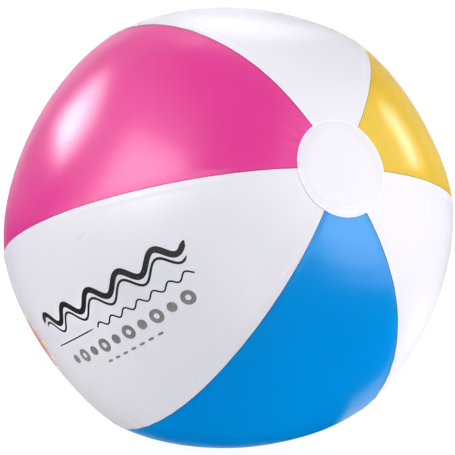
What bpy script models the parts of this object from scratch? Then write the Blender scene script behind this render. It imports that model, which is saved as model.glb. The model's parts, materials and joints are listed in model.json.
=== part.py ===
"""Inflatable beach ball: six welded gores, two end discs and a push-in valve, in metres with +Z up.

The ball is modelled about its own polar axis, with +Z through the middle of the front end disc, under the
empty ball_centre. That empty lifts the ball onto the floor and leans the axis back, so the front disc looks
up and forward (-Y) and the valve sits in the middle of the rear disc.
"""

import math

import bmesh
import bpy
import numpy as np
from mathutils import Matrix, Vector

# The ball
BALL_RADIUS = 0.165        # mean radius at the equator
POLE_RATIO = 1.022         # polar half-length over the radius, before the end discs pull the poles flat
POLE_FLATNESS = 0.053      # share of the radius by which each end disc flattens its pole
POLE_REACH = 0.35          # colatitude over which that flattening fades, in radians
RIDGE = 0.0123             # height of the ridge along each seam, as a share of the radius
RIDGE_FADE = 1.58          # how quickly the ridges die out towards the poles
AXIS_LEAN = math.radians(22.0)   # how far the front pole looks up from the horizontal
FLOOR_SAG = 0.0016         # how much of the ball's underside the floor presses flat

# The film and its welds
FILM = 0.00025             # thickness of the vinyl
GAP = 0.0003               # clearance between two pieces that touch
SEAM_LAP = 0.0036          # width by which a coloured gore runs on under its white neighbours
DISC_RADIUS = 0.0330       # end disc
DISC_LAP = 0.0088          # width by which an end disc covers the tips of the gores
LAYER = FILM + GAP         # step from one layer of film to the next

# Where the welds run round the ball. A gore is welded by hand, so they are not quite 60 degrees apart.
SEAMS = tuple(math.radians(degrees) for degrees in (117.0, 177.0, 235.0, 293.0, 352.0, 413.0))
GORES = ("panel_pink", "panel_white_printed", "panel_blue", "panel_white_right", "panel_yellow",
         "panel_white_top")

# The valve, measured along its own axis from the outer face of the rear disc
BORE_RADIUS = 0.0045
STEM_WALL = 0.0015
STEM_LENGTH = 0.0146
STEM_PROUD = 0.0012        # the stem's rim stands this far out of the ball when it is pushed in
STEM_LIP = 0.0009          # height and width of the bead at the stem's inner end
PLUG_LENGTH = 0.0050
PLUG_WALL = 0.0014
HEAD_OVERHANG = 0.0012     # stopper head beyond the stem's wall
HEAD_THICKNESS = 0.0016
TAB_LENGTH = 0.0026
TAB_WIDTH = 0.0056
TAB_THICKNESS = 0.0010
STRAP_REACH = 0.0026       # from the edge of the stopper's head out to the fold of the strap
STRAP_WIDTH = 0.0042
STRAP_THICKNESS = 0.0007
FLAP_MARGIN = 0.0009       # check flap beyond the bore
FLAP_THICKNESS = 0.0004
RECESS_CLEARANCE = 0.00125   # between the folded strap and the hole in the rear disc
FLANGE_WIDTH = 0.0075
FLANGE_THICKNESS = 0.0008
SLEEVE_WALL = 0.0005
EDGE = 0.0003              # small chamfers on the valve's pieces

# Facets
GORE_COLUMNS = 6
GORE_ROWS = 18
PATCH_CUTS = 2             # extra cuts in each facet near the floor
TURNED_STEPS = 32
FOLD_STEPS = 8

WHITE = (0.90, 0.90, 0.92)
COLOURS = {
    "panel_pink": (0.78, 0.06, 0.30),
    "panel_blue": (0.00, 0.24, 0.72),
    "panel_yellow": (0.88, 0.58, 0.04),
}


def clear_scene():
    for obj in list(bpy.data.objects):
        bpy.data.objects.remove(obj, do_unlink=True)


def new_collection(name):
    collection = bpy.data.collections.new(name)
    bpy.context.scene.collection.children.link(collection)
    return collection


def vinyl(name, colour, roughness):
    material = bpy.data.materials.new(name)
    material.use_nodes = True
    shader = material.node_tree.nodes["Principled BSDF"]
    shader.inputs["Base Color"].default_value = (*colour, 1.0)
    shader.inputs["Roughness"].default_value = roughness
    shader.inputs["Metallic"].default_value = 0.0
    return material


def new_object(name, mesh, parent, material, collection):
    obj = bpy.data.objects.new(name, mesh)
    collection.objects.link(obj)
    obj.parent = parent
    obj.data.materials.append(material)
    obj.data.shade_smooth()
    obj.data.set_sharp_from_angle(angle=math.radians(35.0))
    return obj


def new_empty(name, parent, place, turn, collection):
    empty = bpy.data.objects.new(name, None)
    empty.empty_display_size = 0.02
    collection.objects.link(empty)
    empty.parent = parent
    empty.location = place
    empty.rotation_euler = turn
    return empty


# The inflated shape

def seam_phase(longitude):
    """Longitude with every seam moved onto a whole multiple of 60 degrees."""
    turn = 2.0 * math.pi
    seams = (SEAMS[-1] - turn, *SEAMS, SEAMS[0] + turn)
    steps = [math.radians(60.0 * (i - 1)) for i in range(len(seams))]
    wrapped = SEAMS[0] + (longitude - SEAMS[0]) % turn
    return float(np.interp(wrapped, seams, steps))


def ball_point(colatitude, longitude, lift=0.0):
    """A point of the inflated skin, lift metres outside the innermost layer of film."""
    sine = math.sin(colatitude)
    cosine = math.cos(colatitude)
    round_part = 1.0 / math.hypot(sine, cosine / POLE_RATIO)
    pole_angle = min(colatitude, math.pi - colatitude)
    flattening = POLE_FLATNESS * math.exp(-((pole_angle / POLE_REACH) ** 2))
    ridge = RIDGE * abs(sine) ** RIDGE_FADE * math.cos(6.0 * seam_phase(longitude))
    radius = BALL_RADIUS * round_part * (1.0 - flattening) * (1.0 + ridge) + lift
    return radius * Vector((sine * math.cos(longitude), sine * math.sin(longitude), cosine))


DOWN = Vector((0.0, -math.cos(AXIS_LEAN), -math.sin(AXIS_LEAN)))   # the floor's direction seen from the ball
POLE_HEIGHT = ball_point(math.pi, 0.0).length
DISC_COLATITUDE = math.asin(DISC_RADIUS / POLE_HEIGHT)
TIP_COLATITUDE = math.asin((DISC_RADIUS - DISC_LAP) / POLE_HEIGHT)


def pole_drop(radius):
    """How far the skin falls away from the pole at this distance from the axis, between two seams."""
    between_seams = (SEAMS[0] + SEAMS[1]) / 2.0
    return POLE_HEIGHT - ball_point(math.asin(radius / POLE_HEIGHT), between_seams).z


def lowest_reach():
    """How far the unpressed ball would reach below its centre."""
    colatitudes = np.radians(np.arange(90.0, 135.0, 0.25))
    longitudes = np.radians(np.arange(250.0, 292.0, 0.25))
    return max(ball_point(a, b).dot(DOWN) for a in colatitudes for b in longitudes)


CENTRE_HEIGHT = lowest_reach() - FLOOR_SAG


def gore_rows():
    """Colatitudes of the net's rows: one lap under each end disc, and even steps between the discs."""
    between = np.linspace(DISC_COLATITUDE, math.pi - DISC_COLATITUDE, GORE_ROWS + 1)
    return [TIP_COLATITUDE, *between, math.pi - TIP_COLATITUDE]


def is_white(gore):
    return gore % 2 == 1


def net_lines(colatitude):
    """Longitudes of the net's meridians at one colatitude. White gores have one more along each lap."""
    inside = min(max(colatitude, TIP_COLATITUDE), math.pi - TIP_COLATITUDE)
    lap = SEAM_LAP / (BALL_RADIUS * math.sin(inside))
    ends = (*SEAMS[1:], SEAMS[0] + 2.0 * math.pi)
    lines = []
    for gore, (start, end) in enumerate(zip(SEAMS, ends)):
        if is_white(gore):
            lines += [start, *np.linspace(start + lap, end - lap, GORE_COLUMNS + 1)]
        else:
            lines += [*np.linspace(start, end, GORE_COLUMNS + 1)[:-1]]
    return lines


def net_line(index, colatitude):
    lines = net_lines(colatitude)
    turns, place = divmod(index, len(lines))
    return lines[place] + 2.0 * math.pi * turns


def gore_lines(gore):
    """The first and last meridian of a gore. A coloured gore runs one meridian on, under the white laps."""
    counts = [GORE_COLUMNS + 2 if is_white(g) else GORE_COLUMNS for g in range(len(GORES))]
    first = sum(counts[:gore])
    last = first + counts[gore]
    return (first, last) if is_white(gore) else (first - 1, last + 1)


def net_sheet(first, last, rows, lift):
    """A grid laid on the ball between two meridians of the net. A full turn closes on itself."""
    columns = last - first
    sheet = bmesh.new()
    bmesh.ops.create_grid(sheet, x_segments=columns, y_segments=len(rows) - 1, size=1.0)
    for vertex in sheet.verts:
        column = round((vertex.co.x + 1.0) / 2.0 * columns)
        row = round((vertex.co.y + 1.0) / 2.0 * (len(rows) - 1))
        colatitude = rows[row]
        vertex.co = ball_point(colatitude, net_line(first + column, colatitude), lift)
    bmesh.ops.remove_doubles(sheet, verts=sheet.verts, dist=1e-6)
    outward = sum(face.normal.dot(face.calc_center_median()) for face in sheet.faces)
    if outward < 0.0:
        bmesh.ops.reverse_faces(sheet, faces=sheet.faces)
    return sheet


def press_on_floor(sheet):
    """Splits the facets near the lowest point, puts the new points on the ball, and presses them flat."""
    reach = 2.4 * math.sqrt(2.0 * BALL_RADIUS * FLOOR_SAG)
    near = [e for e in sheet.edges if all((v.co - DOWN * BALL_RADIUS).length < reach for v in e.verts)]
    bmesh.ops.subdivide_edges(sheet, edges=near, cuts=PATCH_CUTS, use_grid_fill=True)
    for vertex in sheet.verts:
        colatitude = math.acos(vertex.co.z / vertex.co.length)
        vertex.co = ball_point(colatitude, math.atan2(vertex.co.y, vertex.co.x))
    parts = [*sheet.verts, *sheet.edges, *sheet.faces]
    bmesh.ops.bisect_plane(sheet, geom=parts, dist=1e-5, plane_co=DOWN * CENTRE_HEIGHT, plane_no=DOWN)
    for vertex in sheet.verts:
        below = vertex.co.dot(DOWN) - CENTRE_HEIGHT
        if below > 0.0:
            vertex.co -= DOWN * below


def film_object(name, sheet, parent, material, collection):
    """Turns an open sheet into film of real thickness, its outer face on the sheet."""
    mesh = bpy.data.meshes.new(name)
    bmesh.ops.triangulate(sheet, faces=sheet.faces, quad_method="FIXED")
    sheet.to_mesh(mesh)
    sheet.free()
    obj = new_object(name, mesh, parent, material, collection)
    film = obj.modifiers.new("film", "SOLIDIFY")
    film.thickness = FILM
    film.offset = -1.0
    return obj


def make_gores(parent, collection, materials):
    for gore, name in enumerate(GORES):
        first, last = gore_lines(gore)
        sheet = net_sheet(first, last, gore_rows(), LAYER if is_white(gore) else 0.0)
        if name == "panel_blue":
            press_on_floor(sheet)
        film_object(name, sheet, parent, materials.get(name, materials["white"]), collection)


def make_end_disc(name, inner_colatitude, rear, parent, collection, material):
    """A disc welded over the tips of the gores, with a hole where inner_colatitude isn't zero."""
    rows = [inner_colatitude, TIP_COLATITUDE, DISC_COLATITUDE]
    if rear:
        rows = [math.pi - colatitude for colatitude in reversed(rows)]
    sheet = net_sheet(0, len(net_lines(0.0)), rows, 2.0 * LAYER)
    film_object(name, sheet, parent, material, collection)


# The valve. Its own +Z points out of the ball, and its zero is the outer face of the rear disc.

SEAT = STEM_PROUD                          # plane of the stem's rim
STEM_END = SEAT - STEM_LENGTH              # plane of the stem's inner end
STEM_RADIUS = BORE_RADIUS + STEM_WALL
HEAD_RADIUS = STEM_RADIUS + HEAD_OVERHANG
HEAD_BASE = SEAT + GAP
HINGE_RADIUS = HEAD_RADIUS + STRAP_REACH   # the stopper turns about the fold of its strap
FOLD_RADIUS = GAP + HEAD_THICKNESS / 2.0
VALVE_HOLE_RADIUS = HINGE_RADIUS + FOLD_RADIUS + STRAP_THICKNESS / 2.0 + RECESS_CLEARANCE
FLANGE_RADIUS = VALVE_HOLE_RADIUS + FLANGE_WIDTH
FLANGE_TOP = -(LAYER + pole_drop(FLANGE_RADIUS))
FLAP_RADIUS = BORE_RADIUS + FLAP_MARGIN


def turned(name, profile, parent, collection, material):
    """A closed solid of revolution about Z from (radius, height) points, down the outside, top to bottom."""
    mesh = bpy.data.meshes.new(name)
    closed = profile[0][0] > 0.0
    last = len(profile) - 1
    edges = [(i, i + 1) for i in range(last)]
    if closed:
        edges.append((last, 0))
    mesh.from_pydata([(radius, 0.0, height) for radius, height in profile], edges, [])
    obj = bpy.data.objects.new(name, mesh)
    collection.objects.link(obj)
    screw = obj.modifiers.new("turn", "SCREW")
    screw.steps = TURNED_STEPS
    screw.render_steps = TURNED_STEPS
    screw.use_merge_vertices = True
    screw.merge_threshold = 0.00001
    obj.parent = parent
    obj.data.materials.append(material)
    return obj


def make_flange(parent, collection, material):
    base = FLANGE_TOP - FLANGE_THICKNESS
    profile = [
        (FLANGE_RADIUS - FLANGE_THICKNESS / 2.0, FLANGE_TOP),
        (FLANGE_RADIUS, FLANGE_TOP - FLANGE_THICKNESS / 2.0),
        (FLANGE_RADIUS - FLANGE_THICKNESS / 2.0, base),
        (VALVE_HOLE_RADIUS, base),
        (VALVE_HOLE_RADIUS, FLANGE_TOP),
    ]
    turned("valve_flange", profile, parent, collection, material)


def make_sleeve(parent, collection, material):
    """The soft cone that rolls through the flange and carries the stem, here pushed in."""
    top = FLANGE_TOP - FLANGE_THICKNESS / 2.0
    foot = STEM_END + STEM_LIP + GAP
    mouth_radius = VALVE_HOLE_RADIUS - GAP
    foot_radius = STEM_RADIUS + GAP
    profile = [
        (mouth_radius, top),
        (foot_radius + SLEEVE_WALL, foot),
        (foot_radius, foot),
        (foot_radius, foot + 2.0 * SLEEVE_WALL),
        (mouth_radius - SLEEVE_WALL, top),
    ]
    turned("valve_sleeve", profile, parent, collection, material)


def make_stem(parent, collection, material):
    lip_radius = STEM_RADIUS + STEM_LIP
    profile = [
        (STEM_RADIUS - EDGE, SEAT),
        (STEM_RADIUS, SEAT - EDGE),
        (STEM_RADIUS, STEM_END + STEM_LIP),
        (lip_radius, STEM_END + STEM_LIP),
        (lip_radius, STEM_END),
        (BORE_RADIUS, STEM_END),
        (BORE_RADIUS, SEAT - EDGE),
        (BORE_RADIUS + EDGE, SEAT),
    ]
    turned("valve_stem", profile, parent, collection, material)


def plug_radius(depth):
    """Widest radius at this depth that still swings out of the bore about the strap's fold."""
    swing = HINGE_RADIUS + BORE_RADIUS - GAP
    return math.sqrt(swing * swing - depth * depth) - HINGE_RADIUS


def make_stopper(hinge, collection, cutters, material):
    """The stopper, hinged on the strap's fold: a hollow tapered plug under a round head with a pull tab."""
    head_top = HEAD_BASE + HEAD_THICKNESS
    well_floor = HEAD_BASE - 0.6 * PLUG_LENGTH
    plug_depths = [PLUG_LENGTH * step / 4.0 for step in range(5)]
    plug = [(plug_radius(depth), SEAT - depth) for depth in plug_depths]
    plug[0] = (plug[0][0], HEAD_BASE)
    tip_radius = plug[-1][0] - 2.0 * EDGE
    profile = [
        (0.0, well_floor),
        (BORE_RADIUS - 2.0 * PLUG_WALL, well_floor),
        (BORE_RADIUS - PLUG_WALL, head_top),
        (HEAD_RADIUS - EDGE, head_top),
        (HEAD_RADIUS, head_top - EDGE),
        (HEAD_RADIUS, HEAD_BASE + EDGE),
        (HEAD_RADIUS - EDGE, HEAD_BASE),
        *plug,
        (tip_radius, SEAT - PLUG_LENGTH - EDGE),
        (0.0, SEAT - PLUG_LENGTH - EDGE),
    ]
    stopper = turned("valve_stopper", profile, hinge, collection, material)
    stopper.matrix_parent_inverse = Matrix.Translation((0.0, -HINGE_RADIUS, -SEAT))
    tab = make_tab(stopper, cutters)
    join = stopper.modifiers.new("pull_tab", "BOOLEAN")
    join.operation = "UNION"
    join.object = tab


def make_tab(parent, cutters):
    """The rounded lip that a finger lifts, on the side away from the strap."""
    shape = bmesh.new()
    bmesh.ops.create_cube(shape, size=1.0)
    inner = HEAD_RADIUS - 0.0015
    length = HEAD_RADIUS + TAB_LENGTH - inner
    bmesh.ops.scale(shape, vec=(TAB_WIDTH, length, TAB_THICKNESS), verts=shape.verts)
    middle = HEAD_BASE + HEAD_THICKNESS / 2.0
    bmesh.ops.translate(shape, vec=(0.0, -(inner + length / 2.0), middle), verts=shape.verts)
    corners = [e for e in shape.edges if abs(e.verts[0].co.z - e.verts[1].co.z) > TAB_THICKNESS / 2.0
               and e.verts[0].co.y < -HEAD_RADIUS]
    bmesh.ops.bevel(shape, geom=corners, offset=TAB_WIDTH * 0.42, segments=4, affect="EDGES")
    mesh = bpy.data.meshes.new("tab_shape")
    shape.to_mesh(mesh)
    shape.free()
    tab = bpy.data.objects.new("tab_shape", mesh)
    cutters.objects.link(tab)
    tab.parent = parent
    tab.hide_render = True
    tab.display_type = "WIRE"
    return tab


def make_strap(parent, collection, material):
    """A strip from the stem's wall out to the fold and back to the stopper's head."""
    path = [(STEM_RADIUS + GAP, SEAT - FOLD_RADIUS)]
    for step in range(FOLD_STEPS + 1):
        angle = math.pi * (step / FOLD_STEPS - 0.5)
        out = HINGE_RADIUS + FOLD_RADIUS * math.cos(angle)
        path.append((out, SEAT + FOLD_RADIUS * math.sin(angle)))
    path.append((HEAD_RADIUS + GAP, SEAT + FOLD_RADIUS))
    strip = bmesh.new()
    sides = [[strip.verts.new((x, y, z)) for y, z in path] for x in (-STRAP_WIDTH / 2.0, STRAP_WIDTH / 2.0)]
    for i in range(len(path) - 1):
        strip.faces.new((sides[0][i], sides[0][i + 1], sides[1][i + 1], sides[1][i]))
    mesh = bpy.data.meshes.new("stopper_strap")
    strip.to_mesh(mesh)
    strip.free()
    strap = new_object("stopper_strap", mesh, parent, material, collection)
    wall = strap.modifiers.new("wall", "SOLIDIFY")
    wall.thickness = STRAP_THICKNESS
    wall.offset = 0.0


def make_flap(hinge, collection, material):
    """The check flap, which inside pressure holds against the stem's end. It is hinged at its top edge."""
    top = STEM_END - GAP
    profile = [
        (0.0, top),
        (FLAP_RADIUS, top),
        (FLAP_RADIUS, top - FLAP_THICKNESS),
        (0.0, top - FLAP_THICKNESS),
    ]
    flap = turned("check_flap", profile, hinge, collection, material)
    flap.matrix_parent_inverse = Matrix.Translation((0.0, FLAP_RADIUS, -top))


def make_valve(ball, collection, cutters, material):
    outer_face = -(POLE_HEIGHT + 2.0 * LAYER)
    valve = new_empty("valve_axis", ball, (0.0, 0.0, outer_face), (math.pi, 0.0, 0.0), collection)
    make_flange(valve, collection, material)
    make_sleeve(valve, collection, material)
    make_stem(valve, collection, material)
    make_strap(valve, collection, material)
    stopper_hinge = new_empty("stopper_hinge", valve, (0.0, HINGE_RADIUS, SEAT), (0.0, 0.0, 0.0), collection)
    make_stopper(stopper_hinge, collection, cutters, material)
    flap_hinge = new_empty("flap_hinge", valve, (0.0, -FLAP_RADIUS, STEM_END - GAP), (0.0, 0.0, 0.0),
                           collection)
    make_flap(flap_hinge, collection, material)


def main():
    clear_scene()
    collection = new_collection("beach_ball")
    cutters = new_collection("shaping")
    materials = {name: vinyl(name, colour, 0.28) for name, colour in COLOURS.items()}
    materials["white"] = vinyl("vinyl_white", WHITE, 0.30)
    soft_white = vinyl("valve_vinyl", WHITE, 0.45)
    ball = new_empty("ball_centre", None, (0.0, 0.0, CENTRE_HEIGHT), (math.pi / 2.0 - AXIS_LEAN, 0.0, 0.0),
                     collection)
    make_gores(ball, collection, materials)
    make_end_disc("end_disc_front", 0.0, False, ball, collection, materials["white"])
    hole_colatitude = math.asin(VALVE_HOLE_RADIUS / POLE_HEIGHT)
    make_end_disc("end_disc_rear", hole_colatitude, True, ball, collection, materials["white"])
    make_valve(ball, collection, cutters, soft_white)


main()
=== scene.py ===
import json
import math

import bmesh
import bpy
import numpy as np
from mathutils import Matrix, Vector


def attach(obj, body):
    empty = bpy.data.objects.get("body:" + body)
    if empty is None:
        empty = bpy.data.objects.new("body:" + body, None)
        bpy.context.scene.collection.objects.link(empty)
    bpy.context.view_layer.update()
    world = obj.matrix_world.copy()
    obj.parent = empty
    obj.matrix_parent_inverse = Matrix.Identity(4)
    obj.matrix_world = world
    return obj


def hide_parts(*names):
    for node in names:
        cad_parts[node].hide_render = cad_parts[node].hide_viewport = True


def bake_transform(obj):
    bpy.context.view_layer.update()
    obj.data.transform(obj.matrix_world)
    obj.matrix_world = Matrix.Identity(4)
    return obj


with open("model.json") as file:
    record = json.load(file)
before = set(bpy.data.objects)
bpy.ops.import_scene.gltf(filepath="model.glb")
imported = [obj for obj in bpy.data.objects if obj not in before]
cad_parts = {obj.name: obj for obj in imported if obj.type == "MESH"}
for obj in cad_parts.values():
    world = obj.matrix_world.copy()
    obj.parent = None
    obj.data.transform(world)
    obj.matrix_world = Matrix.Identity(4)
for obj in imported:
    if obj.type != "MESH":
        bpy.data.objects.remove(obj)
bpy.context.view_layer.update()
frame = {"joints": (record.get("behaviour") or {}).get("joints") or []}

# The ball's design sizes, as in the CAD
BALL_RADIUS = 0.165
POLE_RATIO = 1.022
POLE_FLATNESS = 0.053
POLE_REACH = 0.35
SEAMS = np.radians((116.7, 177.15, 234.8, 292.85, 352.0, 413.0))
DISC_RADIUS = 0.0330
DISC_LAP = 0.0088
SEAM_LAP = 0.0036
CAD_LAYER = 0.00055
SEAT = 0.0012
HINGE_RADIUS = 0.0098
VALVE_HOLE_RADIUS = 0.0125

# The fine shape of the film
FILM = 0.00025
RIDGE = 0.0098             # smooth part of the ridge along each seam, as a share of the radius
RIDGE_CREST = 0.0010       # how much narrower its crest is than its valley
RIDGE_CREASE = 0.0056      # sharp part of it
RIDGE_FADE = 1.58
LAP_STEP = FILM + 0.00002
DISC_LIFT = 0.00056
DISC_SHIFT = (0.00025, -0.00030)    # how far off the pole the front disc was laid
PUCKER_HEIGHT = 0.00022
PUCKER_REACH = 0.012
PUCKER_PITCH = 0.0026
PLEAT_HEIGHT = 0.00016
PLEAT_RISE = 0.004
PLEAT_REACH = 0.011
WELD_PITCH = 0.0011
TOOTH_HEIGHT = 0.00006
CREASE_WIDTH = 0.00045
UNDULATION = 0.00013
FLOOR_SOFTNESS = 0.0004             # how gradually the floor patch ends
TOOTH_BANDS = ((0.0038, 0.0058), (0.0014, 0.0028))    # of a disc's weld, as distances in from its rim
TOOTH_EDGE = 0.0002
GORE_COLUMNS = 20
GORE_ROWS = 150

# The print
PRINT_LIFT = 0.00005
INK = 0.00004
PRINT_START = math.radians(42.0)
PRINT_MIDDLE = math.radians(205.0)
SUN_AT = 0.206
SUN_SIDE = -0.004
WAVE_STEPS = 40                     # points on each swell

# Colours, as a piece's own tone and the deeper tone mottled into it
WHITE_FILM = (0.777, 0.762, 0.824)
WHITE_DEEP = (0.754, 0.739, 0.806)
GORE_COLOURS = {
    "panel_pink": ((0.729, 0.0406, 0.282), (0.685, 0.0319, 0.2505)),
    "panel_white_printed": (WHITE_FILM, WHITE_DEEP),
    "panel_blue": ((0.0, 0.265, 0.719), (0.0, 0.237, 0.665)),
    "panel_white_right": (WHITE_FILM, WHITE_DEEP),
    "panel_yellow": ((0.7255, 0.469, 0.0071), (0.694, 0.431, 0.0056)),
    "panel_white_top": (WHITE_FILM, WHITE_DEEP),
}
GORES = tuple(GORE_COLOURS)
WELDED_WHITE = (0.795, 0.78, 0.84)
# Painted highlight: the bright line along the cut edge of the white film, at the seams and round the discs
PAINTED_EDGE_HIGHLIGHT = (0.97, 0.97, 0.98)
# Grey of the line where a weld strip ends, of the painted shade in the discs' weld grooves, and of the
# valve's specks
LINE_GREY = (0.42, 0.42, 0.45)
VALVE_WHITE = (0.82, 0.82, 0.83)
VALVE_DEEP = (0.76, 0.76, 0.78)
INKS = {
    "black": ((0.012, 0.012, 0.014), (0.030, 0.030, 0.034)),
    "grey": ((0.20, 0.20, 0.205), (0.27, 0.27, 0.275)),
    "red": ((0.62, 0.025, 0.035), (0.70, 0.07, 0.08)),
    "yellow": ((0.86, 0.60, 0.03), (0.90, 0.68, 0.10)),
}

# The studio. Angles are in degrees.
CAMERA_AZIMUTH = -30.244
CAMERA_ELEVATION = 8.6155
CAMERA_DISTANCE = 6.7685 * BALL_RADIUS
CAMERA_LENS = 117.63
AIM_UP = 0.00055
AIM_LEFT = 0.00048
HORIZON = (-0.12, 0.02)             # heights of a ray's direction between which the world brightens
WORLD_ABOVE = 0.42
WORLD_BELOW = 0.0
WORLD_TINT = (0.985, 0.985, 1.0, 1.0)
FLOOR_REACH = 60.0
FLOOR_DROP = 0.00005                # the floor's distance below the ball
FLOOR_TONE = (0.14, 0.14, 0.14)
FLOOR_GLOW = 0.95
FLOOR_LIGHT = 0.825
FLOOR_LIGHT_SIZE = 8.0
FLOOR_LIGHT_DEPTH = 0.3
SHADE_X = 0.008                     # the dark round under the ball
SHADE_RADIUS = 0.055
SHADE_DEPTH = 0.0002
BOUNCE_X = (0.075, 0.477)           # the bright part of the table
BOUNCE_Y = (-0.107, 0.300)
BOUNCE_HEIGHT = 0.0005
BOUNCE_GLOW = 0.661
WALL_REACH = 55.0
WALL_HEIGHT = 60.0
WALL_GLOW = 1.05
BLACK, WHITE = (0.0, 0.0, 0.0), (1.0, 1.0, 1.0)
GLOSS_DISTANCE = 14.0
FILL_DISTANCE = 3.0
AMBIENT = 0.226
# Each light's azimuth and elevation as seen from the ball's centre, its width and height, and its radiance.
# The first set shows in reflections only, and the second only shades.
REFLECTED_LIGHTS = {
    "left_rear_box": (-151.0, 29.0, 20.0, 16.5, 11.5),
    "left_rear_core": (-151.0, 27.5, 7.0, 8.0, 12.0),
    "left_box": (-81.5, 30.5, 40.5, 40.0, 9.2),
    "left_glow": (-91.0, 29.0, 65.0, 77.5, 1.88),
    "right_box": (84.5, 22.5, 10.0, 11.5, 13.2),
    "front_right_box": (36.0, 8.5, 22.0, 28.0, 3.84),
    "front_right_glow": (47.5, 16.5, 40.5, 67.5, 2.6),
    "front_glow": (-14.0, 26.5, 89.5, 20.5, 2.06),
    "front_low_glow": (-25.0, -15.5, 23.0, 33.5, 2.74),
    "top_glow": (121.5, 72.5, 57.5, 11.0, 2.7),
    "rear_top_box": (143.5, 44.5, 25.0, 21.0, 2.05),
    "rear_top_glow": (176.5, 52.5, 52.5, 27.0, 0.58),
    "right_rim_glow": (133.5, 4.5, 41.5, 44.0, 0.12),
    "rear_wall": (162.5, -0.5, 34.5, 65.0, 0.42),
}
SHADING_LIGHTS = {
    "ambient_top": (0.0, 90.0, 90.0, 90.0, AMBIENT),
    "ambient_front": (-30.0, 0.0, 90.0, 90.0, AMBIENT),
    "ambient_right": (60.0, 0.0, 90.0, 90.0, AMBIENT),
    "ambient_rear": (150.0, 0.0, 90.0, 90.0, AMBIENT),
    "ambient_left": (-120.0, 0.0, 90.0, 90.0, AMBIENT),
    "key_fill": (14.0, 55.0, 50.0, 40.0, 2.11),
    "right_fill": (83.0, -23.0, 44.0, 40.0, 4.53),
    "left_rear_fill": (-124.0, 9.0, 44.0, 40.0, 2.26),
}

TURN = 2.0 * math.pi


# Where the frame puts the ball

joints = {joint["name"]: joint for joint in frame["joints"]}
VALVE_OUT = np.array(joints["stem_slide"]["axis"])
VALVE_OUT = VALVE_OUT / np.linalg.norm(VALVE_OUT)
BALL_X = np.array([1.0, 0.0, 0.0])
BALL_Z = -VALVE_OUT
BALL_Y = np.cross(BALL_Z, BALL_X)
VALVE_ORIGIN = np.array(joints["stopper_flip"]["pos_m"]) + HINGE_RADIUS * BALL_Y - SEAT * VALVE_OUT


def base_radius(colatitude):
    """The ball's radius before its ridges."""
    sine, cosine = np.sin(colatitude), np.cos(colatitude)
    pole_angle = np.minimum(colatitude, math.pi - colatitude)
    flattening = POLE_FLATNESS * np.exp(-((pole_angle / POLE_REACH) ** 2))
    return BALL_RADIUS / np.hypot(sine, cosine / POLE_RATIO) * (1.0 - flattening)


POLE_HEIGHT = float(base_radius(np.array(0.0)))
CENTRE = VALVE_ORIGIN - VALVE_OUT * (POLE_HEIGHT + 2.0 * CAD_LAYER)
DISC_COLATITUDE = math.asin(DISC_RADIUS / POLE_HEIGHT)
TIP_COLATITUDE = math.asin((DISC_RADIUS - DISC_LAP) / POLE_HEIGHT)


# The skin of the ball

def seam_phase(longitude):
    """Longitude with every seam moved onto a whole multiple of 60 degrees."""
    seams = np.concatenate(([SEAMS[-1] - TURN], SEAMS, [SEAMS[0] + TURN]))
    steps = np.radians(60.0 * (np.arange(len(seams)) - 1))
    wrapped = SEAMS[0] + np.mod(longitude - SEAMS[0], TURN)
    return np.interp(wrapped, seams, steps)


def seam_distance(colatitude, longitude):
    """Distance along the skin to the nearest seam, and which seam it is."""
    away = np.abs(np.mod(longitude[..., None] - SEAMS + math.pi, TURN) - math.pi)
    nearest = away.argmin(axis=-1)
    return away.min(axis=-1) * BALL_RADIUS * np.sin(colatitude), nearest


def puckers(colatitude, longitude):
    """Small ripples across each seam, where the film has more length along its edge than the ball has."""
    distance, seam = seam_distance(colatitude, longitude)
    along = BALL_RADIUS * colatitude
    drift = 1.7 * seam
    wave = np.sin(along / PUCKER_PITCH + drift + 1.3 * np.sin(along / 0.017 + 2.0 * drift))
    gate = 0.45 + 0.55 * np.sin(along / 0.031 + 2.6 * drift) * np.sin(along / 0.013 + drift)
    reach = PUCKER_REACH * (1.0 + 0.35 * np.sin(along / 0.023 + 0.9 * drift))
    fade = np.exp(-((distance / reach) ** 1.4))
    ends = np.sin(colatitude) ** 0.5
    return PUCKER_HEIGHT * wave * gate * fade * ends


def pleats(colatitude, longitude):
    """Short radial folds in the gores just outside each end disc."""
    pole_angle = np.minimum(colatitude, math.pi - colatitude)
    out = BALL_RADIUS * (pole_angle - DISC_COLATITUDE)
    rise = np.clip(out / PLEAT_RISE + 1.0, 0.0, 1.0)
    fade = np.exp(-np.clip(out, 0.0, None) / PLEAT_REACH)
    wave = np.sin(23.0 * longitude + 1.5 * np.sin(5.0 * longitude + 1.0))
    gate = 0.55 + 0.45 * np.sin(7.0 * longitude + 3.0 * np.sign(math.pi / 2.0 - colatitude))
    return PLEAT_HEIGHT * wave * gate * rise * fade


def undulation(colatitude, longitude):
    """Slow unevenness of a hand-welded skin."""
    x = np.sin(colatitude) * np.cos(longitude)
    y = np.sin(colatitude) * np.sin(longitude)
    z = np.cos(colatitude)
    # Each wave's direction and fineness, and its phase
    waves = ((9.0, 4.0, -6.0, 0.3), (-5.0, 8.0, 7.0, 1.9), (4.0, -11.0, 6.0, 4.1), (13.0, 6.0, 9.0, 2.7),
             (-8.0, 14.0, -7.0, 5.2))
    total = np.zeros(np.shape(colatitude))
    for k, (a, b, c, phase) in enumerate(waves):
        total = total + np.sin(a * x + b * y + c * z + phase) / (1.0 + 0.35 * k)
    return UNDULATION * total


def to_world(points):
    """World places of points in the ball's own frame."""
    return CENTRE + points[..., 0:1] * BALL_X + points[..., 1:2] * BALL_Y + points[..., 2:3] * BALL_Z


def rest_on_floor(points):
    """Presses the underside flat, with a soft edge to the patch."""
    result = points.copy()
    result[..., 2] = FLOOR_SOFTNESS * np.logaddexp(0.0, points[..., 2] / FLOOR_SOFTNESS)
    return result


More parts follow.
